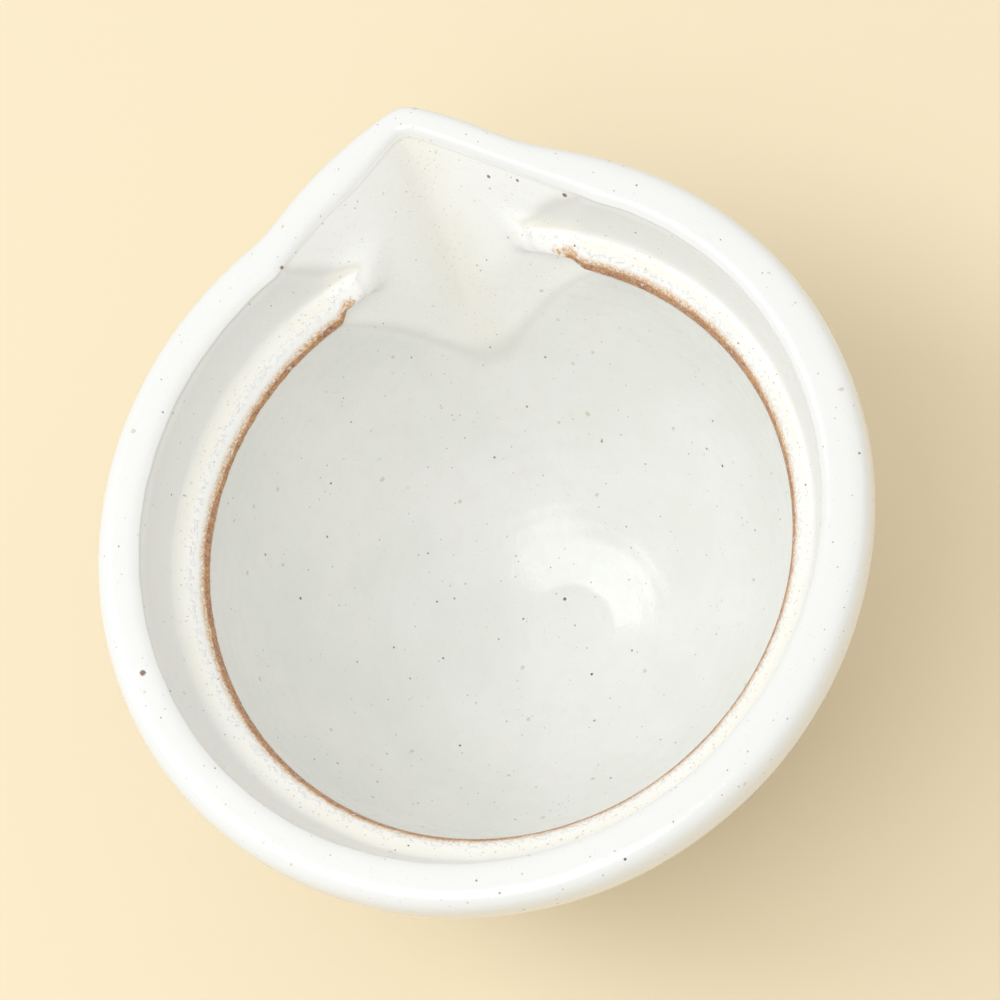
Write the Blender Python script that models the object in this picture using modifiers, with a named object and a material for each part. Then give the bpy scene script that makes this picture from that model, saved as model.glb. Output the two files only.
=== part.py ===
"""A thick glazed stoneware bowl of the mortar kind: a round basin with a ledge inside its rolled rim,
and one side of the rim pulled out into a pointed pouring spout. It stands on a flat, unglazed foot.

The bowl is built from the pieces of clay that a potter joins: foot, wall, inner ledge, rim and spout.
Metres, +Z up. The base stands on z = 0, centred on the Z axis, and the spout points along +X."""
import math

import bmesh
import bpy
import numpy as np

# Rim: a thick roll of clay, a circle in section.
RIM_RADIUS = 0.090            # outermost radius of the rim
ROLL_RADIUS = 0.0061          # radius of the roll's round section
ROLL_HEIGHT = 0.095           # height of the roll's centre
ROLL_START = math.radians(140)    # where the roll begins, on its inner shoulder
ROLL_END = math.radians(-40)      # where the roll turns into the neck below it

# Basin and the ledge above it.
BASIN_RADIUS = 0.0688         # the basin is a half sphere
BASIN_TOP = 0.0797            # height of the sharp edge where the basin ends
FLOOR_RADIUS = 0.0103         # small flat disc at the bottom of the basin
LEDGE_RADIUS = 0.0753         # where the ledge meets the cove under the rim
LEDGE_HEIGHT = 0.0868
LEDGE_BULGE = 0.0016          # how far the ledge rounds up from a straight slope
COVE_BULGE = -0.0007          # the cove is slightly hollow

# Outer wall: a quarter of an ellipse, from under the rim down to the foot.
WALL_TOP = 0.0794
WALL_CENTRE = 0.084           # height of the ellipse's centre
WALL_RADIUS = 0.080
WALL_DEPTH = 0.087
NECK_BULGE = -0.0009

# Foot.
FOOT_RADIUS = 0.043
FOOT_HEIGHT = 0.008
FOOT_BEVEL = 0.0008

# Spout: a trough that rises from the basin's side to a point outside the rim.
SPOUT_HALF_ANGLE = math.radians(28)
SPOUT_BOTTOM = 0.039          # height of the joint between the spout piece and the wall
POINT_REACH = 0.0159          # how far the point stands out from the round rim
POINT_FALL = (0.0367, 0.0458)     # how fast the outline falls back, per radian, on +Y and on -Y
POINT_ROUND = math.radians(1.3)
OUTLINE_BLEND = 0.0012
VALLEY_TIP = (0.0970, 0.0995)     # distance out and height of the trough's bottom line, at its tip
VALLEY_FOOT = (0.0574, 0.0420)    # and where it runs out in the basin
FLANK_SLOPE = (1.22, 1.08)        # rise of the trough's sides near the tip, on +Y and on -Y
FLANK_ROUND = 0.002
DISH = 36.0                   # rise of the rounder trough near the basin, per metre of width squared
DISH_END = 0.064              # the trough is dished inside this distance from the axis
FLANK_START = 0.073           # and has straight sides outside this one
EDGE_BLEND = 0.0008
BULGE_POWER = 1.5             # how quickly the outside bulge under the spout dies away downwards

# Build settings.
GAP = 0.0003                  # between two pieces that touch
STEPS = 72                    # facets around the turned pieces
SPOUT_SECTIONS = 25
ROLL_POINTS = 10
BASIN_POINTS = 13
WALL_POINTS = 10


def clear_scene():
    for item in list(bpy.data.objects):
        bpy.data.objects.remove(item, do_unlink=True)


def new_collection(name):
    collection = bpy.data.collections.new(name)
    bpy.context.scene.collection.children.link(collection)
    return collection


def new_material(name, colour, roughness):
    material = bpy.data.materials.new(name)
    material.use_nodes = True
    shader = material.node_tree.nodes["Principled BSDF"]
    shader.inputs["Base Color"].default_value = (*colour, 1.0)
    shader.inputs["Roughness"].default_value = roughness
    shader.inputs["Metallic"].default_value = 0.0
    material.diffuse_color = (*colour, 1.0)
    return material


def add_object(name, mesh, collection, material=None):
    item = bpy.data.objects.new(name, mesh)
    collection.objects.link(item)
    if material:
        mesh.materials.append(material)
        mesh.shade_smooth()
        mesh.set_sharp_from_angle(angle=math.radians(35))
    return item


# Outlines, as lists of (radius, height).

def arc_between(start, end, bulge, count):
    """Points of a circular arc from start to end. The bulge is to the left of the way along it."""
    start, end = np.array(start), np.array(end)
    chord = end - start
    half = np.linalg.norm(chord) / 2
    side = np.array([-chord[1], chord[0]]) / (2 * half)
    radius = (half**2 + bulge**2) / (2 * bulge)
    centre = (start + end) / 2 + side * (bulge - radius)
    sweep = math.asin(half / abs(radius))
    turns = np.linspace(-sweep, sweep, count)
    along = chord / (2 * half)
    return [tuple(centre + radius * (math.cos(t) * side + math.sin(t) * along * np.sign(bulge)))
            for t in turns]


def roll_point(turn):
    return (RIM_RADIUS - ROLL_RADIUS + ROLL_RADIUS * math.cos(turn),
            ROLL_HEIGHT + ROLL_RADIUS * math.sin(turn))


def roll_points(start, end, count):
    return [roll_point(turn) for turn in np.linspace(start, end, count)]


def wall_radius(height):
    return WALL_RADIUS * np.sqrt(1 - ((WALL_CENTRE - height) / WALL_DEPTH) ** 2)


def basin_points():
    """From the centre of the floor out and up to the sharp edge."""
    floor_turn = math.asin(FLOOR_RADIUS / BASIN_RADIUS)
    turns = np.linspace(floor_turn, math.pi / 2, BASIN_POINTS)
    arc = [(BASIN_RADIUS * math.sin(t), BASIN_TOP - BASIN_RADIUS * math.cos(t)) for t in turns]
    return [(0.0, arc[0][1])] + arc


def ledge_points():
    return arc_between((BASIN_RADIUS, BASIN_TOP), (LEDGE_RADIUS, LEDGE_HEIGHT), LEDGE_BULGE, 5)


def cove_points():
    return arc_between((LEDGE_RADIUS, LEDGE_HEIGHT), roll_point(ROLL_START), COVE_BULGE, 4)


def neck_points():
    """From the underside of the roll in to the top of the outer wall."""
    return arc_between(roll_point(ROLL_END), (float(wall_radius(WALL_TOP)), WALL_TOP), NECK_BULGE, 4)


# Turned pieces.

def turned_mesh(name, outline, closed):
    """A profile with a Screw modifier. The outline runs down the outer side and back up the inner."""
    mesh = bpy.data.meshes.new(name)
    count = len(outline)
    edges = [(i, i + 1) for i in range(count - 1)]
    if closed:
        edges.append((count - 1, 0))
    mesh.from_pydata([(r, 0.0, z) for r, z in outline], edges, [])
    return mesh


def add_screw(item):
    screw = item.modifiers.new("turn", "SCREW")
    screw.axis = "Z"
    screw.angle = math.tau
    screw.steps = STEPS
    screw.render_steps = STEPS
    screw.use_merge_vertices = True
    screw.merge_threshold = 0.00001
    screw.use_normal_calculate = True


def cut_away(item, cutter):
    cut = item.modifiers.new("cut", "BOOLEAN")
    cut.operation = "DIFFERENCE"
    cut.solver = "EXACT"
    cut.object = cutter


def foot_outline():
    return [(0.0, FOOT_HEIGHT),
            (FOOT_RADIUS - FOOT_BEVEL, FOOT_HEIGHT),
            (FOOT_RADIUS, FOOT_HEIGHT - FOOT_BEVEL),
            (FOOT_RADIUS, FOOT_BEVEL),
            (FOOT_RADIUS - FOOT_BEVEL, 0.0),
            (0.0, 0.0)]


def bowl_wall_outline():
    top = BASIN_TOP - GAP
    base = FOOT_HEIGHT + GAP
    inside = basin_points()[:-1] + [(BASIN_RADIUS, top)]
    outside = [(float(wall_radius(z)), z) for z in np.linspace(top, base, WALL_POINTS)]
    return inside + outside + [(0.0, base)]


def inner_ledge_outline():
    back = LEDGE_RADIUS + GAP
    return ledge_points() + [(back, LEDGE_HEIGHT), (back, BASIN_TOP)]


def rim_outline():
    front = LEDGE_RADIUS + 2 * GAP
    inner = [(front, BASIN_TOP)] + [(max(r, front), z) for r, z in cove_points()[:-1]]
    roll = roll_points(ROLL_START, ROLL_END, ROLL_POINTS)
    neck = neck_points()[1:-1]
    return inner + roll + neck + [(float(wall_radius(BASIN_TOP)), BASIN_TOP)]


# The spout.

def smooth_max(first, second, blend):
    return 0.5 * (first + second + np.sqrt((first - second) ** 2 + blend**2))


def smooth_step(low, high, value):
    t = np.clip((value - low) / (high - low), 0.0, 1.0)
    return t * t * (3 - 2 * t)


def point_reach(angle):
    """How far the rim's outline stands out from the round, at an angle from the spout."""
    fall = POINT_FALL[0] if angle > 0 else POINT_FALL[1]
    flank = POINT_REACH - fall * math.hypot(angle, POINT_ROUND)
    return float(smooth_max(flank, 0.0, OUTLINE_BLEND))


def trough_height(x, y):
    """Height of the trough's surface above a point on the ground."""
    slope = (VALLEY_TIP[1] - VALLEY_FOOT[1]) / (VALLEY_TIP[0] - VALLEY_FOOT[0])
    valley = VALLEY_TIP[1] + slope * (x - VALLEY_TIP[0])
    rise = FLANK_SLOPE[0] if y > 0 else FLANK_SLOPE[1]
    flanks = rise * (math.hypot(y, FLANK_ROUND) - FLANK_ROUND)
    straight = smooth_step(DISH_END, FLANK_START, x)
    return valley + straight * flanks + (1 - straight) * DISH * y * y


def trough_radius(angle, height):
    """Distance from the Z axis to the trough's surface, by halving the range that holds it."""
    near, far = 0.03, 0.13
    for _ in range(40):
        middle = (near + far) / 2
        if trough_height(middle * math.cos(angle), middle * math.sin(angle)) < height:
            near = middle
        else:
            far = middle
    return near


def bowl_radius(height):
    """Radius of the round inside of the bowl, between the basin and the rim."""
    upper = ledge_points() + cove_points()[1:]
    if height < BASIN_TOP:
        return math.sqrt(BASIN_RADIUS**2 - (BASIN_TOP - height) ** 2)
    return float(np.interp(height, [z for _, z in upper], [r for r, _ in upper]))


def spout_section(angle):
    """One upright section through the spout piece, as (radius, height) points around it."""
    low = SPOUT_BOTTOM + GAP
    crease = roll_point(ROLL_START)
    reach = point_reach(angle)
    upper = [z for _, z in ledge_points()] + [z for _, z in cove_points()[1:]]
    heights = list(np.linspace(low, BASIN_TOP, 9)[:-1]) + upper
    inside = [(float(smooth_max(bowl_radius(z), trough_radius(angle, z), EDGE_BLEND)), z)
              for z in heights]
    squeeze = (RIM_RADIUS + reach - inside[-1][0]) / (RIM_RADIUS - crease[0])
    roll = []
    for r, z in roll_points(ROLL_START, ROLL_END, ROLL_POINTS)[1:]:
        width = squeeze if z > ROLL_HEIGHT else 1.0
        roll.append((RIM_RADIUS + reach - width * (RIM_RADIUS - r), z))
    below = neck_points()[1:] + [(float(wall_radius(z)), z) for z in np.linspace(WALL_TOP, low, 8)[1:]]
    outside = []
    for r, z in below:
        fade = ((z - low) / (roll[-1][1] - low)) ** BULGE_POWER
        outside.append((r + reach * fade, z))
    return inside + roll + outside


def spout_mesh():
    """A loft through upright sections that fan out around the Z axis, closed at both ends."""
    fit = GAP / RIM_RADIUS
    turns = np.linspace(-SPOUT_HALF_ANGLE + fit, SPOUT_HALF_ANGLE - fit, SPOUT_SECTIONS)
    build = bmesh.new()
    rings = []
    for turn in turns:
        rings.append([build.verts.new((r * math.cos(turn), r * math.sin(turn), z))
                      for r, z in spout_section(turn)])
    count = len(rings[0])
    for ring, following in zip(rings, rings[1:]):
        for i in range(count):
            j = (i + 1) % count
            build.faces.new((ring[i], ring[j], following[j], following[i]))
    build.faces.new(rings[0][::-1])
    build.faces.new(rings[-1])
    bmesh.ops.triangulate(build, faces=[f for f in build.faces if len(f.verts) > 4])
    bmesh.ops.recalc_face_normals(build, faces=build.faces)
    mesh = bpy.data.meshes.new("pouring_spout")
    build.to_mesh(mesh)
    build.free()
    return mesh


def notch_mesh():
    """A wedge that clears the sector of wall, ledge and rim where the spout piece sits."""
    reach, top = 0.2, 0.15
    build = bmesh.new()
    corners = [(0.0, 0.0),
               (reach * math.cos(SPOUT_HALF_ANGLE), -reach * math.sin(SPOUT_HALF_ANGLE)),
               (reach * math.cos(SPOUT_HALF_ANGLE), reach * math.sin(SPOUT_HALF_ANGLE))]
    base = build.faces.new([build.verts.new((x, y, SPOUT_BOTTOM)) for x, y in corners])
    raised = bmesh.ops.extrude_face_region(build, geom=[base])
    lifted = [item for item in raised["geom"] if isinstance(item, bmesh.types.BMVert)]
    bmesh.ops.translate(build, verts=lifted, vec=(0.0, 0.0, top - SPOUT_BOTTOM))
    bmesh.ops.recalc_face_normals(build, faces=build.faces)
    mesh = bpy.data.meshes.new("spout_notch")
    build.to_mesh(mesh)
    build.free()
    return mesh


def main():
    clear_scene()
    parts = new_collection("spouted_mortar_bowl")
    cutters = new_collection("cutters")
    clay = new_material("bare_clay", (0.46, 0.33, 0.22), 0.85)
    glazes = {name: new_material(name + "_glaze", colour, 0.28) for name, colour in (
        ("bowl_wall", (0.80, 0.80, 0.76)),
        ("inner_ledge", (0.86, 0.82, 0.70)),
        ("rim_lip", (0.86, 0.86, 0.84)),
        ("pouring_spout", (0.82, 0.81, 0.75)))}

    notch = add_object("spout_notch", notch_mesh(), cutters)
    notch.hide_render = True
    notch.display_type = "WIRE"

    foot = add_object("foot", turned_mesh("foot", foot_outline(), False), parts, clay)
    add_screw(foot)
    for name, outline, closed in (("bowl_wall", bowl_wall_outline(), False),
                                  ("inner_ledge", inner_ledge_outline(), True),
                                  ("rim_lip", rim_outline(), True)):
        item = add_object(name, turned_mesh(name, outline, closed), parts, glazes[name])
        add_screw(item)
        cut_away(item, notch)
    add_object("pouring_spout", spout_mesh(), parts, glazes["pouring_spout"])


main()
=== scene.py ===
"""The looks of the spouted mortar bowl: its glazed and bare surfaces, the light and the camera.

The bowl is fired in one piece, so its surface is worked out once, as a grid of points round the Z axis.
Each CAD node is then replaced by the stretch of that surface that is its own, closed with inner walls."""
import math

import bpy
import numpy as np
from mathutils import Matrix, Vector


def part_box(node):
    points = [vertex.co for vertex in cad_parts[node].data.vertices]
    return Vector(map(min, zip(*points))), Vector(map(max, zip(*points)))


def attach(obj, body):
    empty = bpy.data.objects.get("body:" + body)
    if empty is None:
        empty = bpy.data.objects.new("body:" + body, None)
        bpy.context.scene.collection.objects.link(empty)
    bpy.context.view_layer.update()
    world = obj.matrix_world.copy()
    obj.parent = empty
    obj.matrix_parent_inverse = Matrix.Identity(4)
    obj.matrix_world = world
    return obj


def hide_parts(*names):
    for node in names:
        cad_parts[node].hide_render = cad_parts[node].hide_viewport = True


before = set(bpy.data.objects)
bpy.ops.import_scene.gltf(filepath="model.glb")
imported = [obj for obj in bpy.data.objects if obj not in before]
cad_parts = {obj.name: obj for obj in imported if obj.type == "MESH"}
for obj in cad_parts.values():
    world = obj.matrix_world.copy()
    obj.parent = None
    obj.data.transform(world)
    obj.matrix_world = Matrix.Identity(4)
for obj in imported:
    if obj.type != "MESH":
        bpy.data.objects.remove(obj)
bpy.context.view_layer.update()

# The bowl's sizes, in metres, as the CAD model has them.
RIM_RADIUS = 0.090
ROLL_RADIUS = 0.0061
ROLL_HEIGHT = 0.095
ROLL_START = math.radians(140)
ROLL_END = math.radians(-40)
BASIN_RADIUS = 0.0688
BASIN_TOP = 0.0797
FLOOR_RADIUS = 0.0103
LEDGE_RADIUS = 0.0753
LEDGE_HEIGHT = 0.0868
LEDGE_BULGE = 0.0016
COVE_BULGE = -0.0007
WALL_TOP = 0.0794
WALL_CENTRE = 0.084
WALL_RADIUS = 0.080
WALL_DEPTH = 0.087
NECK_BULGE = -0.0009
FOOT_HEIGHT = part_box("foot")[1].z
FOOT_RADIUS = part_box("foot")[1].x
FOOT_BEVEL = 0.0008

SPOUT_HALF_ANGLE = math.radians(28)
SPOUT_BOTTOM = 0.039
POINT_REACH = 0.0159
POINT_TURN = math.radians(0.7)    # the point sits a little to the +Y side
POINT_FALL = (0.0372, 0.0560)     # how fast the outline falls away from it: +Y side, -Y side
POINT_ROUND = math.radians(1.3)
OUTLINE_BLEND = (0.0014, 0.0052)  # how softly it joins the round: +Y side, -Y side
VALLEY_TIP = (0.0970, 0.0995)     # the ends of the trough's valley: distance out, height
VALLEY_FOOT = (0.0574, 0.0420)
FLANK_SLOPE = (1.22, 1.08)        # how steep the trough's sides are: +Y side, -Y side
FLANK_ROUND = 0.002
DISH = (36.0, 28.0)               # how hollow its lower part is: +Y side, -Y side
DISH_END = 0.064                  # it is hollow up to this distance out, and has straight sides
FLANK_START = 0.073               # from this one on
EDGE_BLEND = 0.0016               # how round the trough's edge is
BULGE_POWER = 1.5                 # how quickly the bulge under the spout dies away downwards
TROUGH_SKEW = 0.045               # the valley runs to the +Y side as it goes out
TROUGH_FADE = 0.0015              # how far the trough's lower end sinks below the basin's surface
TROUGH_FADE_HEIGHTS = (SPOUT_BOTTOM - 0.003, SPOUT_BOTTOM + 0.007)
TROUGH_RANGE = (0.02, 0.13)       # its surface is looked for between these distances from the axis
HALVINGS = 40
HOLLOW_DEPTH = 0.0018             # the trough is hollowed above the ledge's end, on the +Y side
HOLLOW_ANGLES = (math.radians(7), math.radians(18))
HOLLOW_HEIGHTS = (0.083, 0.093)
BEAD_START = (math.radians(24.0), math.radians(27.5))   # where it leaves the basin's edge: +Y side, -Y side
BEAD_TIP = (math.radians(12.5), math.radians(13.5))     # and where it ends in a point, in the spout
BEAD_RISE = (0.0023, 0.0024)      # how far its lower edge rises between them
BEAD_RISE_ANGLE = math.radians(3)
BEAD_HEIGHT = 0.0042
BEAD_FADE = (math.radians(8), math.radians(19.5))       # its height dies away between these angles
BEAD_CREST = 0.0008               # the lower side is at its full height this far above the lower edge
BEAD_UNDERCUT = 0.0014            # and starts this far below it, or further where the ledge dies away
BEAD_SOFT_UNDERCUT = 0.005
BEAD_TOP = (LEDGE_HEIGHT - 0.003, LEDGE_HEIGHT + 0.003)
CUT_LIMITS = (-0.004, 0.02)       # how deep the trough cuts is kept between these, for the glaze
LINE_WIDE_AT = -135               # the brown line on the ledge's edge is widest at this angle, in degrees
ROLL_SQUARENESS = 3.0             # 2 is a circle; the lip is a little flat on top, with round shoulders

# How finely the surface is made.
DENSE_STEP = 0.0001           # spacing of the outline's own points, before they are softened
FINE_STEP = 0.00018           # spacing of the grid's rows at a corner
STEP_GROWTH = 0.22            # how fast the rows spread out away from it
SPOUT_COLUMN = math.radians(0.35)
ROUND_COLUMN = math.radians(0.8)
SPOUT_REGION = math.radians(40)   # the trough has no effect outside this angle

# What the potter's hand leaves.
CREASE_DIP = 0.00060          # the groove that a tool leaves below the roll, on the inside
CREASE_DIP_WIDTH = 0.0008
RING_DEPTH = 0.00004          # throwing rings
RING_SPACING = 0.0046
UNEVENNESS = 0.00012
SWELL_LENGTHS = (0.026, 0.06)     # shortest and longest wave of the unevenness
SWELL_WAVES = 7
CALM = 0.01                   # the rings die away this near the ledge's edge and the basin's middle
TURNING_DEPTH = 0.00016       # rings that are turned into the underside
TURNING_SPACING = 0.0031

SEED = 5


# The outline, from the middle of the basin's floor, over the rim, to the middle of the underside.

def arc_between(start, end, bulge):
    """A circular arc from start to end, as close-set points. The bulge is to the left of the way along."""
    start, end = np.array(start), np.array(end)
    chord = end - start
    half = np.linalg.norm(chord) / 2
    side = np.array([-chord[1], chord[0]]) / (2 * half)
    radius = (half**2 + bulge**2) / (2 * bulge)
    centre = (start + end) / 2 + side * (bulge - radius)
    sweep = math.asin(half / abs(radius))
    turns = np.linspace(-sweep, sweep, math.ceil(2 * sweep * abs(radius) / DENSE_STEP))[:, None]
    along = chord / (2 * half)
    return centre + radius * (np.cos(turns) * side + np.sin(turns) * along * np.sign(bulge))


def circle_arc(centre, radius, start, end):
    turns = np.linspace(start, end, math.ceil(abs(end - start) * radius / DENSE_STEP))
    return np.stack([centre[0] + radius * np.cos(turns), centre[1] + radius * np.sin(turns)], axis=1)


def rounded_square(centre, radius, start, end):
    """An arc that is squarer than a circle's."""
    turns = np.linspace(start, end, math.ceil(abs(end - start) * radius / DENSE_STEP))
    across, up = np.cos(turns), np.sin(turns)
    power = ROLL_SQUARENESS
    size = radius * (np.abs(across) ** power + np.abs(up) ** power) ** (-1 / power)
    return np.stack([centre[0] + size * across, centre[1] + size * up], axis=1)


def straight(start, end):
    start, end = np.array(start), np.array(end)
    count = max(3, math.ceil(np.linalg.norm(end - start) / DENSE_STEP))
    return start + (end - start) * np.linspace(0, 1, count)[:, None]


def wall_radius(height):
    return WALL_RADIUS * np.sqrt(1 - ((WALL_CENTRE - height) / WALL_DEPTH) ** 2)


def outline_segments():
    """Each stretch of the outline: name, points, how soft its far corner is, and row spacing."""
    roll_centre = (RIM_RADIUS - ROLL_RADIUS, ROLL_HEIGHT)
    floor_turn = -math.acos(FLOOR_RADIUS / BASIN_RADIUS)
    basin = circle_arc((0.0, BASIN_TOP), BASIN_RADIUS, floor_turn, 0.0)
    roll = rounded_square(roll_centre, ROLL_RADIUS, ROLL_START, ROLL_END)
    ledge = arc_between(basin[-1], (LEDGE_RADIUS, LEDGE_HEIGHT), LEDGE_BULGE)
    cove = arc_between(ledge[-1], roll[0], COVE_BULGE)
    neck = arc_between(roll[-1], (wall_radius(WALL_TOP), WALL_TOP), NECK_BULGE)
    turns = np.linspace(math.asin((WALL_CENTRE - WALL_TOP) / WALL_DEPTH),
                        math.asin((WALL_CENTRE - FOOT_HEIGHT) / WALL_DEPTH), 1000)
    wall = np.stack([WALL_RADIUS * np.cos(turns), WALL_CENTRE - WALL_DEPTH * np.sin(turns)], axis=1)
    shoulder = (FOOT_RADIUS - FOOT_BEVEL, FOOT_HEIGHT)
    return [("floor", straight((0.0, basin[0, 1]), basin[0]), 0.0009, 0.0013),
            ("basin", basin, 0.00024, 0.0014),
            ("ledge", ledge, 0.0005, 0.0004),
            ("cove", cove, 0.00025, 0.0005),
            ("roll", roll, 0.0006, 0.0005),
            ("neck", neck, 0.0012, 0.0008),
            ("wall", wall, 0.0007, 0.0020),
            ("foot_top", straight(wall[-1], shoulder), 0.0003, 0.0006),
            ("foot_chamfer", straight(shoulder, (FOOT_RADIUS, FOOT_HEIGHT - FOOT_BEVEL)), 0.0003, 0.0004),
            ("foot_side", straight((FOOT_RADIUS, FOOT_HEIGHT - FOOT_BEVEL), (FOOT_RADIUS, FOOT_BEVEL)),
             0.0003, 0.0010),
            ("foot_edge", straight((FOOT_RADIUS, FOOT_BEVEL), (FOOT_RADIUS - FOOT_BEVEL, 0.0)),
             0.0003, 0.0004),
            ("underside", straight((FOOT_RADIUS - FOOT_BEVEL, 0.0), (0.0, 0.0)), 0.0003, 0.0012)]


class Outline:
    """The outline's close-set points, the distance along it, and the place of each corner."""

    def __init__(self):
        segments = outline_segments()
        self.points = np.concatenate([points[1:] if k else points
                                      for k, (_, points, _, _) in enumerate(segments)])
        steps = np.linalg.norm(np.diff(self.points, axis=0), axis=1)
        self.along = np.concatenate([[0.0], np.cumsum(steps)])
        self.end, self.softness, self.coarse = {}, {}, {}
        last = -1
        for name, points, softness, coarse in segments:
            last += len(points) if last < 0 else len(points) - 1
            self.end[name] = self.along[last]
            self.softness[name] = softness
            self.coarse[name] = coarse

    def at_height(self, height, segment):
        """Distance along the outline to a height on a named segment."""
        names = list(self.end)
        start = self.end[names[names.index(segment) - 1]]
        inside = (self.along >= start) & (self.along <= self.end[segment])
        nearest = np.argmin(np.abs(self.points[inside, 1] - height))
        return self.along[inside][nearest]

    def rows(self, marks):
        """Distances along the outline for the grid's rows, close-set at the corners. Each mark is a row."""
        corners = np.array(list(self.end.values())[:-1])
        rows = [0.0]
        for name, end in self.end.items():
            while rows[-1] < end - FINE_STEP:
                gap = np.abs(corners - rows[-1]).min()
                rows.append(rows[-1] + min(self.coarse[name], FINE_STEP + STEP_GROWTH * gap))
        rows = np.array(rows)
        rows[-1] = self.along[-1]
        for mark in marks:
            rows[np.argmin(np.abs(rows - mark))] = mark
        return rows

    def soften(self, rows):
        """The weights that take the outline's points to the grid's rows and round its corners off."""
        corners = np.array(list(self.end.values()))
        widths = np.interp(rows, corners, list(self.softness.values()))
        weights = np.exp(-0.5 * ((rows[:, None] - self.along[None, :]) / widths[:, None]) ** 2)
        spacing = np.gradient(self.along)
        weights *= spacing[None, :]
        return weights / weights.sum(axis=1, keepdims=True)


# The spout.

def soft_max(first, second, blend):
    """The larger of the two, with a round corner where they are within the blend of each other."""
    share = np.clip(0.5 + 0.5 * (first - second) / blend, 0.0, 1.0)
    return second + (first - second) * share + blend * share * (1 - share)


def smooth_step(low, high, value):
    t = np.clip((value - low) / (high - low), 0.0, 1.0)
    return t * t * (3 - 2 * t)


def point_reach(angle):
    """How far the rim's outline stands out from the round, at an angle from the spout."""
    angle = angle - POINT_TURN
    side = smooth_step(-2 * POINT_ROUND, 2 * POINT_ROUND, angle)
    fall = POINT_FALL[1] + (POINT_FALL[0] - POINT_FALL[1]) * side
    blend = OUTLINE_BLEND[1] + (OUTLINE_BLEND[0] - OUTLINE_BLEND[1]) * side
    flank = POINT_REACH - fall * np.hypot(angle, POINT_ROUND)
    return 0.5 * (flank + np.sqrt(flank**2 + blend**2))


def trough_height(x, y):
    """Height of the trough's surface above a point on the ground."""
    slope = (VALLEY_TIP[1] - VALLEY_FOOT[1]) / (VALLEY_TIP[0] - VALLEY_FOOT[0])
    valley = VALLEY_TIP[1] + slope * (x - VALLEY_TIP[0])
    y = y - TROUGH_SKEW * np.maximum(x - VALLEY_FOOT[0], 0.0)
    rise = np.where(y > 0, FLANK_SLOPE[0], FLANK_SLOPE[1])
    flanks = rise * (np.hypot(y, FLANK_ROUND) - FLANK_ROUND)
    steep = smooth_step(DISH_END, FLANK_START, x)
    dish = np.where(y > 0, DISH[0], DISH[1])
    return valley + steep * flanks + (1 - steep) * dish * y * y


def trough_radius(angle, height):
    """Distance from the Z axis to the trough's surface, by halving the range that holds it."""
    shape = np.broadcast(angle, height).shape
    near, far = np.full(shape, TROUGH_RANGE[0]), np.full(shape, TROUGH_RANGE[1])
    for _ in range(HALVINGS):
        middle = (near + far) / 2
        under = trough_height(middle * np.cos(angle), middle * np.sin(angle)) < height
        near = np.where(under, middle, near)
        far = np.where(under, far, middle)
    fade = TROUGH_FADE * (1 - smooth_step(*TROUGH_FADE_HEIGHTS, height))
    hollow = smooth_step(*HOLLOW_ANGLES, angle) * smooth_step(*HOLLOW_HEIGHTS, height)
    return near - fade + HOLLOW_DEPTH * hollow


def by_side(pair, angle):
    """The pair's value for the side that an angle is on."""
    return np.where(angle > 0, pair[0], pair[1])


def bead_edge(angle):
    """Height of the ledge's lower edge, which rises a little where it runs out into the spout."""
    start = by_side(BEAD_START, angle)
    risen = smooth_step(-start, BEAD_RISE_ANGLE - start, -np.abs(angle))
    return BASIN_TOP + by_side(BEAD_RISE, angle) * risen


def bead(angle, height):
    """How far the ledge's tapering end stands out from the trough's side."""
    low = bead_edge(angle)
    sharp = smooth_step(by_side(BEAD_TIP, angle), BEAD_FADE[1], np.abs(angle))
    foot = low - BEAD_UNDERCUT - BEAD_SOFT_UNDERCUT * (1 - sharp)
    lower_side = smooth_step(foot, low + BEAD_CREST, height)
    upper_side = 1 - smooth_step(*BEAD_TOP, height)
    return BEAD_HEIGHT * smooth_step(*BEAD_FADE, np.abs(angle)) * lower_side * upper_side


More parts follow.
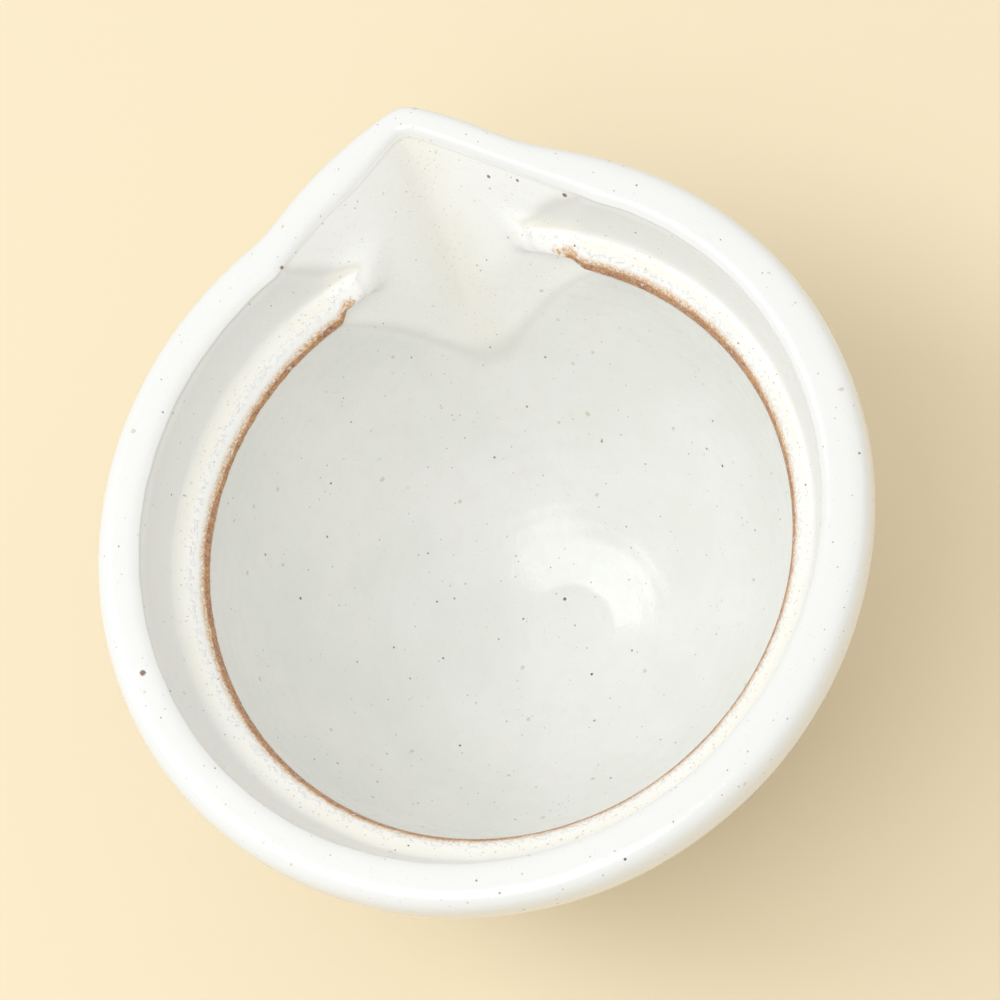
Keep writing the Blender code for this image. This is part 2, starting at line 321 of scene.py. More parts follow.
class Surface:
    """The whole bowl's surface: points, normals and what the glaze does, by row and column."""

    def __init__(self):
        self.outline = outline = Outline()
        self.marks = {
            "spout_inside": outline.at_height(SPOUT_BOTTOM, "basin"),
            "edge": outline.end["basin"],
            "cove_foot": outline.end["ledge"],
            "crease": outline.end["cove"],
            "rim_outside": outline.at_height(BASIN_TOP, "neck"),
            "spout_outside": outline.at_height(SPOUT_BOTTOM, "wall"),
            "foot": outline.end["wall"]}
        self.along = outline.rows(self.marks.values())
        self.row = {name: int(np.argmin(np.abs(self.along - place))) for name, place in self.marks.items()}
        self.angles, self.left, self.right = self.columns()
        self.shape()
        self.uneven()
        self.find_normals()

    def columns(self):
        """Angles round the axis, from one side of the spout, across it and round the back."""
        across = round(2 * SPOUT_HALF_ANGLE / SPOUT_COLUMN)
        round_back = round((math.tau - 2 * SPOUT_HALF_ANGLE) / ROUND_COLUMN)
        spout = np.linspace(-SPOUT_HALF_ANGLE, SPOUT_HALF_ANGLE, across + 1)
        back = np.linspace(SPOUT_HALF_ANGLE, math.tau - SPOUT_HALF_ANGLE, round_back + 1)[1:-1]
        return np.concatenate([spout, back]), 0, across

    def shape(self):
        """Radius and height of every point, and how deep the trough cuts there."""
        radius, height = self.outline.points[:, 0:1], self.outline.points[:, 1:2]
        along = self.outline.along[:, None]
        turn = (self.angles + math.pi) % math.tau - math.pi
        reach = point_reach(turn)[None, :]
        crease, top = self.marks["crease"], self.outline.along[np.argmax(radius[:, 0])]
        inside = (along <= crease)[:, 0]
        radius = np.repeat(radius, len(turn), axis=1)
        sway = 0.75 + 0.25 * np.sin(5 * turn + 1.1) * np.sin(11 * turn) + 0.15 * np.sin(47 * turn)
        from_dip = along - crease + CREASE_DIP_WIDTH
        dip = CREASE_DIP * sway * np.exp(-(from_dip / CREASE_DIP_WIDTH) ** 2)
        radius = np.where(inside[:, None], radius + dip, radius)
        cut = np.full(radius.shape, -1.0)
        rows = np.flatnonzero(inside & (height[:, 0] > SPOUT_BOTTOM - 0.006))
        near = np.flatnonzero(np.abs(turn) < SPOUT_REGION)
        patch = np.ix_(rows, near)
        trough = trough_radius(turn[None, near], height[rows]) - bead(turn[None, near], height[rows])
        cut[patch] = trough - radius[patch]
        radius[patch] = soft_max(trough, radius[patch], EDGE_BLEND)

        inner_top = radius[np.flatnonzero(inside)[-1]][None, :]
        squeeze = (RIM_RADIUS + reach - inner_top) / (RIM_RADIUS - self.outline.points[inside][-1, 0])
        upper = (along > crease) & (along <= top)
        radius = np.where(upper, RIM_RADIUS + reach - squeeze * (RIM_RADIUS - radius), radius)
        roll_end = self.outline.points[np.argmin(np.abs(self.outline.along - self.outline.end["roll"])), 1]
        fade = np.clip((height - SPOUT_BOTTOM) / (roll_end - SPOUT_BOTTOM), 0.0, 1.0) ** BULGE_POWER
        radius = np.where(along > top, radius + reach * fade, radius)

        weights = self.outline.soften(self.along)
        self.radius = weights @ radius
        self.height = np.repeat(weights @ height, len(turn), axis=1)
        self.cut = weights @ np.clip(cut, *CUT_LIMITS)
        self.radius[[0, -1]] = 0.0
        self.turn = turn

    def positions(self):
        return np.stack([self.radius * np.cos(self.angles), self.radius * np.sin(self.angles), self.height],
                        axis=2)

    def find_normals(self):
        rows = np.gradient(self.points, axis=0)
        columns = np.roll(self.points, -1, axis=1) - np.roll(self.points, 1, axis=1)
        normals = np.cross(rows, columns)
        normals[0], normals[-1] = (0, 0, 1), (0, 0, -1)
        self.normals = normals / np.linalg.norm(normals, axis=2, keepdims=True)

    def uneven(self):
        """Moves the points by fractions of a millimetre, as hand-thrown clay is never quite true."""
        self.points = self.positions()
        self.find_normals()
        draw = np.random.default_rng(SEED)
        swell = np.zeros(self.radius.shape)
        for _ in range(SWELL_WAVES):
            way = draw.normal(size=3)
            way *= math.tau / draw.uniform(*SWELL_LENGTHS) / np.linalg.norm(way)
            swell += np.sin(self.points @ way + draw.uniform(0, math.tau)) / SWELL_WAVES
        along = self.along[:, None]
        thrown = np.where((along < self.marks["edge"]) | (along > self.marks["rim_outside"]), 1.0, 0.0)
        to_foot = along - self.marks["foot"]
        calm = (smooth_step(0.0, CALM, np.abs(along - self.marks["edge"]))
                * smooth_step(0.0, CALM, along) * (1 - smooth_step(-0.004, 0.0, to_foot)))
        drift = 1.5 * np.sin(along * 190) + 0.8 * np.sin(along * 77 + 1)
        rings = thrown * calm * np.sin(math.tau * along / RING_SPACING + drift + self.angles[None, :])
        gentle = smooth_step(0.0, 0.012, along) * (1 - smooth_step(-0.003, 0.0, to_foot))
        move = UNEVENNESS * gentle * (swell - 1) + RING_DEPTH * (rings - 1)
        under = self.outline.end["foot_edge"]
        turned = (smooth_step(under + 0.002, under + 0.006, along)
                  * (1 - smooth_step(-0.006, 0, along - self.along[-1])))
        grooves = 0.5 - 0.5 * np.cos(math.tau * (along - under) / TURNING_SPACING)
        move = np.where(to_foot > 0, -TURNING_DEPTH * turned * grooves, move)
        self.points = self.points + self.normals * move[:, :, None]

    def traits(self):
        """What the glaze material reads at each point."""
        along = np.repeat(self.along[:, None], len(self.turn), axis=1)
        side = self.radius * np.sin(self.turn)
        inner = along < self.marks["crease"] + 0.004
        cut = np.where(inner, self.cut, CUT_LIMITS[0])
        trough = smooth_step(0.0, 0.0014, cut)
        ledge = (self.outline.along >= self.marks["edge"]) & (self.outline.along <= self.marks["cove_foot"])
        edge = np.interp(bead_edge(self.turn), self.outline.points[ledge, 1], self.outline.along[ledge])
        line_tip, line_start = by_side(BEAD_TIP, self.turn), by_side(BEAD_START, self.turn)
        line = smooth_step(line_tip + math.radians(1), line_start + math.radians(1), np.abs(self.turn))
        wide = np.sqrt(0.5 + 0.5 * np.cos(self.turn - math.radians(LINE_WIDE_AT)))
        return {
            "edge_mm": 1000 * (along - edge[None, :]),
            "line": np.repeat(line[None, :], len(self.along), axis=0),
            "line_width": np.repeat(wide[None, :], len(self.along), axis=0),
            "crease_mm": 1000 * (along - self.marks["crease"]),
            "trough": trough,
            "valley": trough * np.exp(-((side / 0.0065) ** 2)),
            "groove": np.exp(-(((cut - 0.0002) / 0.0004) ** 2)) * smooth_step(0.040, 0.046, self.height)}


# Pieces.

def piece_of(name, surface, strips, caps, material):
    """A closed piece. Each strip is a run of columns and the loop of rows that goes round its section.

    A row is a row of the surface, or a point of the section inside the clay: (radius, height)."""
    count = len(surface.angles)
    points = [surface.points.reshape(-1, 3)]
    numbers = {}

    def row_numbers(row):
        """The number of each column's point on this row, with the first column's again at the end."""
        if row not in numbers:
            if isinstance(row, tuple):
                radius, height = row
                start = sum(len(group) for group in points)
                points.append(np.stack([radius * np.cos(surface.angles), radius * np.sin(surface.angles),
                                        np.full(count, height)], axis=1))
            else:
                radius, start = surface.radius[row, 0], row * count
            ring = np.full(count, start) if radius == 0 else np.arange(start, start + count)
            numbers[row] = np.append(ring, ring[0])
        return numbers[row]

    faces, shown = [], []
    for columns, loop in strips:
        columns = np.array(columns)
        for first, second in zip(loop, loop[1:] + loop[:1]):
            near, far = row_numbers(first), row_numbers(second)
            corners = [near[columns], far[columns], far[columns + 1], near[columns + 1]]
            if near[0] == near[1] and far[0] == far[1]:
                continue                  # both are points of the axis, with no face between them
            if near[0] == near[1]:
                corners.pop()
            elif far[0] == far[1]:
                corners.pop(2)
            faces.extend(np.stack(corners, axis=1).tolist())
            outer = not isinstance(first, tuple) and not isinstance(second, tuple) and second == first + 1
            shown.extend([outer] * len(columns))
    for column, loop, flip in caps:
        ring = [int(row_numbers(row)[column]) for row in loop]
        faces.append(ring[::-1] if flip else ring)
        shown.append(False)

    corner_points = np.concatenate([np.array(face) for face in faces])
    corner_shown = np.repeat(shown, [len(face) for face in faces])
    used, place = np.unique(corner_points, return_inverse=True)
    starts = np.cumsum([0] + [len(face) for face in faces])
    place = place.tolist()
    mesh = bpy.data.meshes.new(name)
    mesh.from_pydata(np.concatenate(points)[used].tolist(), [],
                     [place[start:end] for start, end in zip(starts[:-1], starts[1:])])
    mesh.polygons.foreach_set("use_smooth", shown)
    on_surface = used < surface.radius.size
    for trait, values in surface.traits().items():
        layer = mesh.attributes.new(trait, "FLOAT", "POINT")
        numbers_here = np.where(on_surface, values.reshape(-1)[np.where(on_surface, used, 0)], 0.0)
        layer.data.foreach_set("value", numbers_here.astype(np.float32))
    normals = np.zeros((len(corner_points), 3))
    normals[corner_shown] = surface.normals.reshape(-1, 3)[corner_points[corner_shown]]
    mesh.normals_split_custom_set(normals.tolist())
    mesh.materials.append(material)
    piece = bpy.data.objects.new(name, mesh)
    bpy.context.scene.collection.objects.link(piece)
    return piece


def span(first, last):
    return list(range(first, last + 1))


def build_pieces(surface, glaze, ledge_glaze, clay):
    row = surface.row
    last = len(surface.along) - 1
    spout = range(surface.left, surface.right)
    back = range(surface.right, len(surface.angles))
    ends = (surface.right, surface.left)
    corner = (LEDGE_RADIUS, BASIN_TOP)
    joint = (0.0, FOOT_HEIGHT)

    low = span(0, row["spout_inside"]) + span(row["spout_outside"], row["foot"]) + [joint]
    full = span(0, row["edge"]) + span(row["rim_outside"], row["foot"]) + [joint]
    notch = span(row["spout_inside"], row["edge"]) + span(row["rim_outside"], row["spout_outside"])
    wall = piece_of("bowl_wall_glazed", surface, [(spout, low), (back, full)],
                    [(ends[0], notch, False), (ends[1], notch, True)], glaze)
    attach(wall, "root")
    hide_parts("bowl_wall")

    section = span(row["edge"], row["cove_foot"]) + [corner]
    ledge = piece_of("inner_ledge_glazed", surface, [(back, section)],
                     [(ends[0], section, False), (ends[1], section, True)], ledge_glaze)
    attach(ledge, "root")
    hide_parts("inner_ledge")

    section = span(row["cove_foot"], row["rim_outside"]) + [corner]
    rim = piece_of("rim_lip_glazed", surface, [(back, section)],
                   [(ends[0], section, False), (ends[1], section, True)], glaze)
    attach(rim, "root")
    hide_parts("rim_lip")

    section = span(row["spout_inside"], row["spout_outside"])
    pourer = piece_of("pouring_spout_glazed", surface, [(spout, section)],
                      [(ends[1], section, False), (ends[0], section, True)], glaze)
    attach(pourer, "root")
    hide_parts("pouring_spout")

    section = span(row["foot"], last) + [joint]
    foot = piece_of("foot_bare_clay", surface, [(range(len(surface.angles)), section)], [], clay)
    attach(foot, "root")
    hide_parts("foot")


# Materials.

def linear(red, green, blue):
    """A display colour, 0 to 255, as the linear colour that a shader takes."""
    parts = [value / 255 for value in (red, green, blue)]
    return tuple(v / 12.92 if v <= 0.04045 else ((v + 0.055) / 1.055) ** 2.4 for v in parts) + (1.0,)


class Nodes:
    """Short ways to add shader nodes. An input is a number, a vector, a colour or another node's output."""

    def __init__(self, name):
        self.material = bpy.data.materials.new(name)
        self.material.use_nodes = True
        self.tree = self.material.node_tree
        self.shader = self.tree.nodes["Principled BSDF"]
        self.place = self.add("ShaderNodeTexCoord").outputs["Object"]
        self.split = self.add("ShaderNodeSeparateXYZ", Vector=self.place).outputs

    def add(self, kind, settings=None, **inputs):
        node = self.tree.nodes.new(kind)
        for name, value in (settings or {}).items():
            setattr(node, name, value)
        for name, value in inputs.items():
            self.feed(node.inputs[name.replace("_", " ")], value)
        return node

    def feed(self, socket, value):
        if isinstance(value, bpy.types.NodeSocket):
            self.tree.links.new(value, socket)
        else:
            socket.default_value = value

    def math(self, operation, first, second=0.0, clamp=False):
        node = self.add("ShaderNodeMath", {"operation": operation, "use_clamp": clamp})
        self.feed(node.inputs[0], first)
        self.feed(node.inputs[1], second)
        return node.outputs[0]

    def ramp(self, value, low, high, start=0.0, end=1.0):
        """Start below low, end above high, and a smooth change between."""
        node = self.add("ShaderNodeMapRange", {"interpolation_type": "SMOOTHSTEP"}, Value=value,
                        From_Min=low, From_Max=high, To_Min=start, To_Max=end)
        return node.outputs["Result"]

    def bump_at(self, value, centre, width):
        """1 at the centre, falling to 0 at the width on either side."""
        return self.ramp(self.math("ABSOLUTE", self.math("SUBTRACT", value, centre)), 0.0, width, 1.0, 0.0)

    def both(self, *factors):
        total = factors[0]
        for factor in factors[1:]:
            total = self.math("MULTIPLY", total, factor)
        return total

    def most(self, *factors):
        total = factors[0]
        for factor in factors[1:]:
            total = self.math("MAXIMUM", total, factor)
        return total

    def tint(self, factor, base, colour):
        node = self.add("ShaderNodeMix", {"data_type": "RGBA"})
        self.feed(node.inputs["Factor"], factor)
        self.feed(node.inputs["A"], base)
        self.feed(node.inputs["B"], colour)
        return node.outputs["Result"]

    def trait(self, name):
        return self.add("ShaderNodeAttribute", {"attribute_name": name}).outputs["Fac"]

    def noise(self, scale, detail=2.0, roughness=0.5, where=None):
        node = self.add("ShaderNodeTexNoise", Vector=where or self.place, Scale=scale, Detail=detail,
                        Roughness=roughness)
        return node.outputs["Fac"]

    def shifted(self, offset, warp=0.0, scale=400.0):
        """The place, moved by an offset, and by a little noise if there is a warp."""
        where = self.add("ShaderNodeVectorMath", {"operation": "ADD"})
        self.feed(where.inputs[0], self.place)
        where.inputs[1].default_value = offset
        if not warp:
            return where.outputs[0]
        wander = self.add("ShaderNodeTexNoise", Vector=self.place, Scale=scale, Detail=2.0)
        move = self.add("ShaderNodeVectorMath", {"operation": "MULTIPLY_ADD"})
        self.feed(move.inputs[0], wander.outputs["Color"])
        move.inputs[1].default_value = (warp,) * 3
        self.feed(move.inputs[2], where.outputs[0])
        return move.outputs[0]

    def specks(self, spacing, size, share, offset, warp=0.0004):
        """Scattered spots. Share is the part of the cells, a spacing across, that hold one."""
        cells = self.add("ShaderNodeTexVoronoi", Vector=self.shifted(offset, warp), Scale=1 / spacing)
        chosen = self.add("ShaderNodeSeparateColor", Color=cells.outputs["Color"]).outputs
        reach = self.math("MULTIPLY", size / spacing, self.ramp(chosen["Green"], 0.0, 1.0, 0.45, 1.0))
        inner = self.math("MULTIPLY", reach, SPECK_CORE)
        spot = self.ramp(cells.outputs["Distance"], inner, reach, 1.0, 0.0)
        return self.both(spot, self.math("LESS_THAN", chosen["Red"], share))

    def mark(self, angle, out, height, radius):
        """One mark: its angle round the axis in degrees, and its distance out, height and radius in mm."""
        angle, out = math.radians(angle), out / 1000
        centre = (out * math.cos(angle), out * math.sin(angle), height / 1000)
        from_it = self.add("ShaderNodeVectorMath", {"operation": "SUBTRACT"})
        self.feed(from_it.inputs[0], self.shifted((-MARK_WANDER / 2,) * 3, MARK_WANDER, MARK_WANDER_SCALE))
        from_it.inputs[1].default_value = centre
        length = self.add("ShaderNodeVectorMath", {"operation": "LENGTH"})
        self.feed(length.inputs[0], from_it.outputs[0])
        inner, outer = (radius / 1000 * share for share in MARK_EDGE)
        return self.ramp(length.outputs["Value"], inner, outer, 1.0, 0.0)


SPECK_CORE = 0.55             # the part of a speck's radius that is at its full colour
MARK_EDGE = (0.6, 1.15)       # a mark fades between these parts of its radius
MARK_WANDER = 0.0004          # and its outline wanders by about half of this
MARK_WANDER_SCALE = 900.0

WHITE = linear(232, 232, 227)
WHITE_COOL = linear(227, 228, 222)
BRIGHT = linear(243, 242, 237)
# A slightly darker white: painted shade that tones down the lip's brightly lit top.
ROLL_PAINTED_SHADE_WHITE = linear(226, 226, 222)
CREAM = linear(236, 231, 214)
# A grey for the glaze's random mottling, and for the painted shade in the cove.
MOTTLE_AND_COVE_SHADE_GREY = linear(226, 224, 219)
# The trough edges' thin glaze, and the painted shade in the crease under the roll.
THIN_GLAZE_AND_CREASE_SHADE = linear(206, 203, 190)
IRON_BROWN = linear(106, 58, 30)
IRON_BLACK = linear(40, 30, 26)
OCHRE_SPOT = linear(190, 152, 96)
BREAK_BROWN = linear(166, 112, 76)
BREAK_PALE = linear(205, 170, 148)
BREAK_OCHRE = linear(204, 154, 88)
CLAY = linear(176, 140, 104)
CLAY_PALE = linear(190, 158, 122)
CLAY_TOASTED = linear(150, 96, 62)
FLOOR_LIGHT = linear(232, 217, 185)
FLOOR_DARK = linear(229, 213, 180)

# The largest iron marks in the glaze: angle round the axis in degrees, distance out and height in mm, and
# the mark's radius in mm.
LARGE_MARKS = ((102.8, 82.6, 100.9, 0.8), (86.3, 77.8, 100.7, 0.6), (-5.0, 7.8, 11.3, 0.55),
               (78.0, 58.4, 43.3, 0.4), (133.1, 39.0, 23.0, 0.4), (26.0, 79.6, 99.6, 0.75),
               (-10.7, 84.5, 95.4, 0.6), (-15.9, 82.5, 97.2, 0.5), (-24.5, 79.5, 97.8, 0.7))


def glaze_material(name):
    """White stoneware glaze: thick and creamy where it pools, thin and brown where it runs off an edge."""
    n = Nodes(name)
    z = n.split["Z"]
    # Distances along the outline in mm: outwards from the ledge's edge, and from the crease below the roll.
    edge, crease = n.trait("edge_mm"), n.trait("crease_mm")
    trough, valley, groove = n.trait("trough"), n.trait("valley"), n.trait("groove")
    line, wide = n.trait("line"), n.trait("line_width")
    rounded = n.math("SUBTRACT", 1.0, trough)

    cloud = n.noise(38.0, 4.0, 0.55)
    mottle = n.noise(210.0, 3.0, 0.6, n.shifted((0.3, 0.1, 0.7)))
    grain = n.noise(1900.0, 2.0, 0.6, n.shifted((0.9, 0.4, 0.2)))
    colour = n.tint(n.ramp(cloud, 0.35, 0.68), WHITE, WHITE_COOL)
    colour = n.tint(n.both(n.ramp(mottle, 0.42, 0.75), 0.35), colour, MOTTLE_AND_COVE_SHADE_GREY)

    # The glaze is thick and bright on the ledge and in the spout, creamy where it pools, and painted shade
    # grey in the cove.
    on_ledge = n.both(n.ramp(edge, 0.6, 2.4), n.ramp(edge, 7.0, 10.5, 1.0, 0.0), rounded)
    colour = n.tint(n.both(n.most(n.both(on_ledge, 0.9), n.both(trough, 0.75)), 0.9), colour, BRIGHT)
    pooled = n.most(n.both(n.bump_at(edge, 8.4, 3.2), rounded, 0.55), n.both(valley, 0.5))
    colour = n.tint(n.both(pooled, n.ramp(cloud, 0.3, 0.6, 0.45, 1.0)), colour, CREAM)
    # Painted shade: the cove, a hollow under the roll, is tinted grey where shade falls in it.
    painted_cove_shade = n.both(n.ramp(edge, 10.5, 13.0), n.ramp(crease, -0.6, 0.4, 1.0, 0.0), rounded)
    colour = n.tint(n.both(painted_cove_shade, 0.8), colour, MOTTLE_AND_COVE_SHADE_GREY)

    # Painted shade: the lip's glaze is a little darker than the rest, to tone down its brightly lit top.
    on_roll = n.both(n.ramp(crease, 0.2, 1.6), n.ramp(crease, 15.0, 22.0, 1.0, 0.0))
    colour = n.tint(n.both(on_roll, 0.85), colour, ROLL_PAINTED_SHADE_WHITE)

    # Where the basin's sharp edge breaks through the glaze: a brown line, with an ochre side on the ledge.
    wander = n.noise(330.0, 4.0, 0.7, n.shifted((0.5, 0.5, 0.1)))
    slow = n.noise(55.0, 2.0, 0.5, n.shifted((0.2, 0.9, 0.4)))
    ragged = n.math("ADD", edge, n.math("MULTIPLY", n.math("SUBTRACT", wander, 0.5), 2.0))
    width = n.math("ADD", n.ramp(slow, 0.3, 0.7, 0.72, 1.02), n.math("MULTIPLY", wide, 1.5))
    width = n.both(width, n.ramp(line, 0.5, 1.0, 0.4, 1.0))
    middle = n.math("SUBTRACT", n.math("SUBTRACT", width, 0.35), n.math("MULTIPLY", wide, 0.45))
    offset = n.math("ABSOLUTE", n.math("SUBTRACT", ragged, middle))
    core = n.ramp(offset, n.math("MULTIPLY", width, 0.7), n.math("MULTIPLY", width, 1.3), 1.0, 0.0)
    patchy = n.math("MULTIPLY", n.math("SUBTRACT", wander, 0.5), 2.2)
    broken_up = n.ramp(n.math("ADD", line, patchy), 0.5, 0.8)
    broken = n.both(core, broken_up)
    faded = n.math("SUBTRACT", ragged, n.math("MULTIPLY", wide, 2.2))
    fringe = n.both(n.ramp(faded, 1.8, 3.8, 1.0, 0.0), n.ramp(ragged, -0.6, 0.1), broken_up)
    grit = n.noise(1500.0, 3.0, 0.75, n.shifted((0.8, 0.1, 0.6)))
    colour = n.tint(n.both(fringe, n.ramp(grit, 0.36, 0.6, 0.2, 1.0)), colour, BREAK_OCHRE)
    brown = n.tint(n.ramp(wander, 0.40, 0.60, 0.0, 0.6), BREAK_BROWN, BREAK_OCHRE)
    brown = n.tint(n.ramp(grit, 0.53, 0.62, 0.0, 0.85), brown, BREAK_PALE)
    brown = n.tint(n.ramp(grit, 0.38, 0.47, 0.85, 0.0), brown, IRON_BROWN)
    colour = n.tint(n.both(broken, 0.94), colour, brown)

    # Thin glaze over the trough's edges, and painted shade in the crease under the roll.
    # The crease part is painted shade: a grey band along the groove under the roll, where shade falls.
    thin = n.most(n.both(groove, 0.30), n.both(n.bump_at(crease, -0.5, 0.6), 0.30))
    colour = n.tint(thin, colour, THIN_GLAZE_AND_CREASE_SHADE)

    # Iron specks, and pinholes where the glaze is thick.
    dust = n.specks(0.0010, 0.00018, 0.60, (0.61, 0.17, 0.93))
    fine = n.specks(0.0019, 0.00025, 0.50, (0.11, 0.27, 0.05))
    medium = n.specks(0.0038, 0.00040, 0.40, (0.71, 0.33, 0.52))
    coarse = n.specks(0.0090, 0.00052, 0.17, (0.23, 0.81, 0.37))
    ochre = n.specks(0.0052, 0.00075, 0.34, (0.35, 0.62, 0.15), warp=0.0012)
    pinholes = n.both(n.specks(0.0010, 0.00026, 0.75, (0.4, 0.6, 0.8)),
                      n.most(n.both(n.bump_at(edge, 8.2, 2.6), n.ramp(trough, 0.0, 1.0, 1.0, 0.5)),
                             n.both(valley, 0.7), n.both(trough, 0.35)))
    large = n.most(*[n.mark(*mark) for mark in LARGE_MARKS])
    colour = n.tint(n.both(dust, 0.30), colour, OCHRE_SPOT)
    colour = n.tint(n.both(ochre, 0.42), colour, OCHRE_SPOT)
    colour = n.tint(n.both(fine, 0.42), colour, IRON_BROWN)
    colour = n.tint(n.both(medium, 0.70), colour, IRON_BROWN)
    colour = n.tint(n.both(coarse, 0.85), colour, IRON_BLACK)
    colour = n.tint(n.both(pinholes, 0.45), colour, OCHRE_SPOT)
    colour = n.tint(n.both(large, 0.85), colour, IRON_BROWN)

    # The glaze stops in a wavy line above the foot, and the clay is toasted next to it.
    level = n.math("ADD", z, n.math("MULTIPLY", n.math("SUBTRACT", n.noise(45.0, 3.0, 0.6), 0.5), 0.005))
    outer = n.ramp(crease, 5.0, 9.0)
    bare = n.both(n.ramp(level, 0.0128, 0.0134, 1.0, 0.0), outer)
    toasted = n.both(n.ramp(level, 0.0134, 0.0165, 1.0, 0.0), outer)
    colour = n.tint(n.both(toasted, 0.5), colour, CREAM)
    clay = n.tint(n.ramp(level, 0.0095, 0.0128), CLAY, CLAY_TOASTED)
    clay = n.tint(n.ramp(grain, 0.4, 0.7, 0.0, 0.35), clay, IRON_BROWN)
    colour = n.tint(bare, colour, clay)
    n.feed(n.shader.inputs["Base Color"], colour)

    gloss = n.ramp(mottle, 0.3, 0.7, 0.17, 0.23)
    gloss = n.math("ADD", gloss, n.both(n.most(broken, n.both(fringe, 0.6)), 0.3))
    gloss = n.math("SUBTRACT", gloss, n.both(on_roll, 0.05))
    gloss = n.math("ADD", gloss, n.both(bare, 0.55), clamp=True)
    n.feed(n.shader.inputs["Roughness"], gloss)
    n.shader.inputs["IOR"].default_value = 1.52

    peel = n.math("MULTIPLY", n.noise(620.0, 3.0, 0.55), 0.00005)
    swell = n.math("MULTIPLY", n.noise(120.0, 2.0, 0.5), 0.00016)
    pits = n.math("MULTIPLY", n.most(fine, medium, coarse, pinholes, large), -0.00009)
    rough = n.math("MULTIPLY", n.both(n.most(broken, bare), grain), 0.00010)
    step = n.math("MULTIPLY", bare, -0.00035)
    blisters = n.ramp(n.noise(1000.0, 2.0, 0.6), 0.5, 0.66)
    pits = n.math("ADD", pits, n.both(n.bump_at(edge, 6.0, 2.0), rounded, blisters, 0.00016))
    relief = n.math("ADD", n.math("ADD", peel, swell), n.math("ADD", n.math("ADD", pits, rough), step))
    bump = n.add("ShaderNodeBump", Height=relief, Strength=1.0, Distance=1.0)
    n.feed(n.shader.inputs["Normal"], bump.outputs["Normal"])
    return n.material


def clay_material(name):
    """Bare stoneware: dry, sandy, with iron specks and the rings of the turning tool."""
    n = Nodes(name)
    cloud = n.noise(60.0, 4.0, 0.6)
    grain = n.noise(1700.0, 3.0, 0.65)
    colour = n.tint(n.ramp(cloud, 0.35, 0.7), CLAY, CLAY_PALE)
    colour = n.tint(n.ramp(grain, 0.42, 0.72, 0.0, 0.4), colour, CLAY_TOASTED)
    specks = n.specks(0.0034, 0.00030, 0.35, (0.2, 0.5, 0.9))
    colour = n.tint(n.both(specks, 0.7), colour, IRON_BROWN)
    n.feed(n.shader.inputs["Base Color"], colour)
    n.feed(n.shader.inputs["Roughness"], n.ramp(grain, 0.3, 0.7, 0.72, 0.9))
    relief = n.math("MULTIPLY", grain, 0.00016)
    bump = n.add("ShaderNodeBump", Height=relief, Strength=1.0, Distance=1.0)
    n.feed(n.shader.inputs["Normal"], bump.outputs["Normal"])
    return n.material


def floor_material():
    n = Nodes("pale_floor")
    colour = n.tint(n.noise(3.0, 3.0, 0.6), FLOOR_LIGHT, FLOOR_DARK)
    n.feed(n.shader.inputs["Base Color"], colour)
    n.shader.inputs["Roughness"].default_value = 0.7
    return n.material


# Stage, light and camera.

CAMERA_AZIMUTH = math.radians(-60.93)
CAMERA_ELEVATION = math.radians(66.12)
CAMERA_ROLL = math.radians(40.50)
CAMERA_DISTANCE = 0.850
CAMERA_TARGET = Vector((0.0, 0.0, ROLL_HEIGHT))
CAMERA_LENS = 136.1
CAMERA_SHIFT = (0.0224, 0.0241)
SENSOR_WIDTH = 36.0
FLOOR_HALF = 2.5
ROOM_STRENGTH = 0.88
COOL = (0.94, 0.97, 1.0)          # the softboxes' colour

# Each softbox: its name, the way to it, its distance, its width and height, its long side's direction, and
# its power in watts.
SOFTBOXES = (("key_softbox", (-0.23, 0.205, 0.935), 1.2, (0.72, 0.72), (0.7, 0.6, -0.2), 3.2),
             ("long_softbox", (0.17, 0.58, 0.79), 1.2, (0.80, 0.50), (0.7, 0.6, -0.2), 3.5),
             ("side_softbox", (0.1, -0.85, 0.5), 1.4, (0.8, 0.8), (1.0, 0.0, 0.0), 0.8))


def add_floor():
    half = FLOOR_HALF
    mesh = bpy.data.meshes.new("floor")
    mesh.from_pydata([(-half, -half, 0), (half, -half, 0), (half, half, 0), (-half, half, 0)], [],
                     [(0, 1, 2, 3)])
    mesh.materials.append(floor_material())
    floor = bpy.data.objects.new("floor", mesh)
    bpy.context.scene.collection.objects.link(floor)


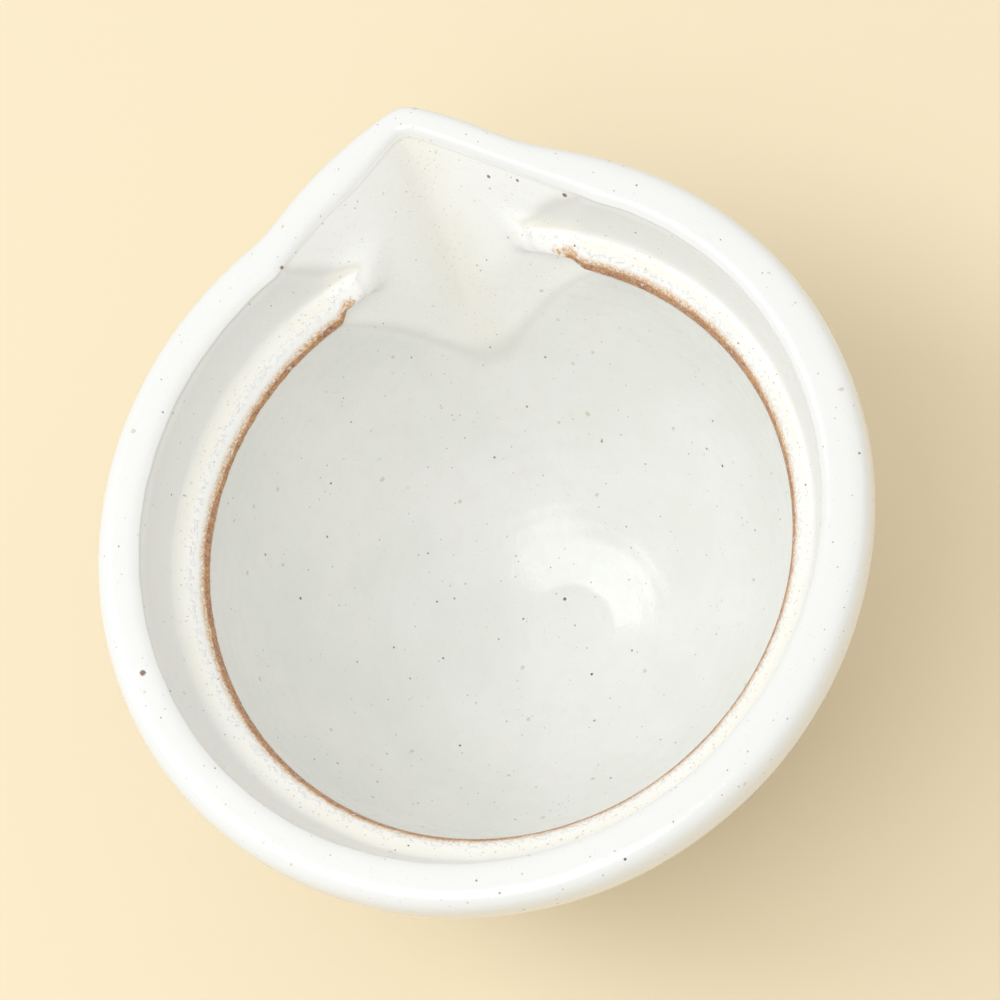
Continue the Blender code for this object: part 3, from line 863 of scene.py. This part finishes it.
def add_light(name, towards, distance, size, long_way, power):
    """A soft oval light that faces the bowl, with its long side along a given direction."""
    light = bpy.data.lights.new(name, "AREA")
    light.shape = "ELLIPSE"
    light.size, light.size_y = size
    light.energy = power
    light.color = COOL
    lamp = bpy.data.objects.new(name, light)
    back = Vector(towards).normalized()
    along = Vector(long_way)
    along = (along - along.dot(back) * back).normalized()
    turn = Matrix((along, back.cross(along), back)).transposed().to_4x4()
    lamp.matrix_world = Matrix.Translation(CAMERA_TARGET + back * distance) @ turn
    bpy.context.scene.collection.objects.link(lamp)


def add_world():
    world = bpy.data.worlds.new("soft_room")
    bpy.context.scene.world = world
    world.use_nodes = True
    background = world.node_tree.nodes["Background"]
    background.inputs["Color"].default_value = (1.0, 1.0, 1.0, 1.0)
    background.inputs["Strength"].default_value = ROOM_STRENGTH


def add_camera():
    camera = bpy.data.objects.new("camera", bpy.data.cameras.new("camera"))
    camera.data.lens = CAMERA_LENS
    camera.data.sensor_width = SENSOR_WIDTH
    camera.data.shift_x, camera.data.shift_y = CAMERA_SHIFT
    back = Vector((math.sin(CAMERA_AZIMUTH) * math.cos(CAMERA_ELEVATION),
                   -math.cos(CAMERA_AZIMUTH) * math.cos(CAMERA_ELEVATION), math.sin(CAMERA_ELEVATION)))
    level = Vector((math.cos(CAMERA_AZIMUTH), math.sin(CAMERA_AZIMUTH), 0.0))
    upward = back.cross(level)
    right = math.cos(CAMERA_ROLL) * level - math.sin(CAMERA_ROLL) * upward
    up = math.sin(CAMERA_ROLL) * level + math.cos(CAMERA_ROLL) * upward
    turn = Matrix((right, up, back)).transposed().to_4x4()
    camera.matrix_world = Matrix.Translation(CAMERA_TARGET + back * CAMERA_DISTANCE) @ turn
    bpy.context.scene.collection.objects.link(camera)
    bpy.context.scene.camera = camera


def main():
    bpy.context.scene.view_settings.view_transform = "Standard"
    surface = Surface()
    build_pieces(surface, glaze_material("white_glaze"), glaze_material("ledge_glaze"),
                 clay_material("bare_clay"))
    add_floor()
    add_world()
    for softbox in SOFTBOXES:
        add_light(*softbox)
    add_camera()


main()
